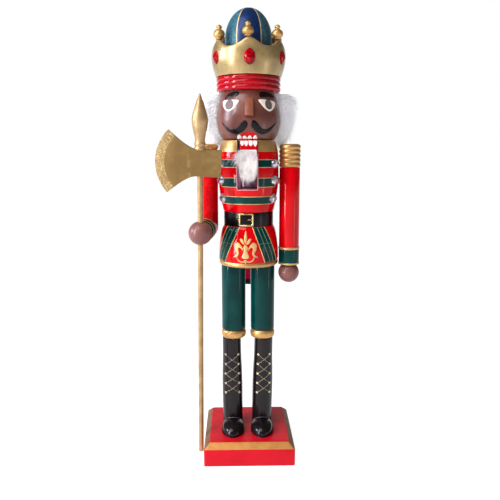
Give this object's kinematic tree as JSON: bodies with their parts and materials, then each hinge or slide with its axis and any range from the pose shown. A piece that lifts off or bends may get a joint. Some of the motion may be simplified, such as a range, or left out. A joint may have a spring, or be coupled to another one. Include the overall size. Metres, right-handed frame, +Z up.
{
  "type": "nutcracker figure",
  "caption": "Standing turned-wood nutcracker soldier with a crown, a jaw worked by a back lever, a beard and a staff with an axe head held in one hand, on a square bevelled base.",
  "frame": {"origin": "centre of the base's underside", "axes": "+Z up, the figure faces -Y, +X towards the hanging arm (the figure's left side)"},
  "size_m": [0.188, 0.14, 0.6088],
  "materials": {
    "red_lacquer": "gloss red lacquer on turned wood",
    "base_red": "satin red paint on a wood block",
    "green_lacquer": "gloss dark green lacquer on turned wood",
    "gold_paint": "metallic gold paint on wood",
    "black_lacquer": "gloss black lacquer on turned wood",
    "skin_paint": "satin brown paint on turned wood",
    "crown_cloth_paint": "blue and teal glitter paint on a turned dome",
    "fur": "long-pile white faux fur",
    "belt_vinyl": "patent black vinyl strap",
    "buckle_metal": "stamped gilt buckle",
    "red_stone": "faceted red acrylic stone with a foil back",
    "clear_stone": "faceted clear acrylic stone with a foil back",
    "bare_wood": "bare birch dowel",
    "steel_pin": "plain wire pin"
  },
  "bodies": {
    "figure": {"base": "base_red", "right_leg_dowel": "bare_wood", "left_leg_dowel": "bare_wood", "right_boot": "black_lacquer", "left_boot": "black_lacquer", "right_shoe": "black_lacquer", "left_shoe": "black_lacquer", "right_knee_ring": "gold_paint", "left_knee_ring": "gold_paint", "right_thigh": "green_lacquer", "left_thigh": "green_lacquer", "skirt": "red_lacquer", "belt": "belt_vinyl", "buckle": "buckle_metal", "waist_dowel": "bare_wood", "torso": "red_lacquer", "right_neck_dowel": "bare_wood", "left_neck_dowel": "bare_wood", "right_arm_dowel": "bare_wood", "left_arm_dowel": "bare_wood", "lever_pin": "steel_pin", "right_chest_stone_1": "clear_stone", "right_chest_stone_2": "clear_stone", "right_chest_stone_3": "clear_stone", "left_chest_stone_1": "clear_stone", "left_chest_stone_2": "clear_stone", "left_chest_stone_3": "clear_stone", "head": "skin_paint", "nose": "skin_paint", "hair": "fur", "crown_base_ring": "red_lacquer", "crown_shell": "gold_paint", "crown_dome": "crown_cloth_paint", "crown_dowel": "bare_wood", "crown_finial_1": "gold_paint", "crown_finial_2": "gold_paint", "crown_finial_3": "gold_paint", "crown_finial_4": "gold_paint", "crown_finial_5": "gold_paint", "crown_finial_6": "gold_paint", "crown_gem_1": "red_stone", "crown_gem_2": "red_stone", "crown_gem_3": "red_stone", "crown_gem_4": "red_stone", "crown_gem_5": "red_stone", "crown_gem_6": "red_stone", "left_epaulette": "gold_paint", "left_sleeve": "red_lacquer", "left_cuff": "green_lacquer", "left_hand": "skin_paint", "right_epaulette": "gold_paint", "right_upper_sleeve": "red_lacquer", "right_forearm": "red_lacquer", "right_cuff": "green_lacquer", "right_hand": "skin_paint"},
    "lever": {"jaw_lever": "red_lacquer", "beard": "fur"},
    "staff": {"staff_rod": "gold_paint", "axe_head": "gold_paint", "spear_finial": "gold_paint"}
  },
  "joints": [
    {"name": "jaw_hinge", "type": "hinge", "parent": "figure", "child": "lever", "pos_m": [0.00061, 0.00998, 0.415], "axis": [0.9981, -0.061, 0], "range_deg": [0, 16]},
    {"name": "staff_slide", "type": "slide", "parent": "figure", "child": "staff", "axis": [0.0168, -0.1005, 0.9948], "range_m": [0, 0.3]}
  ]
}
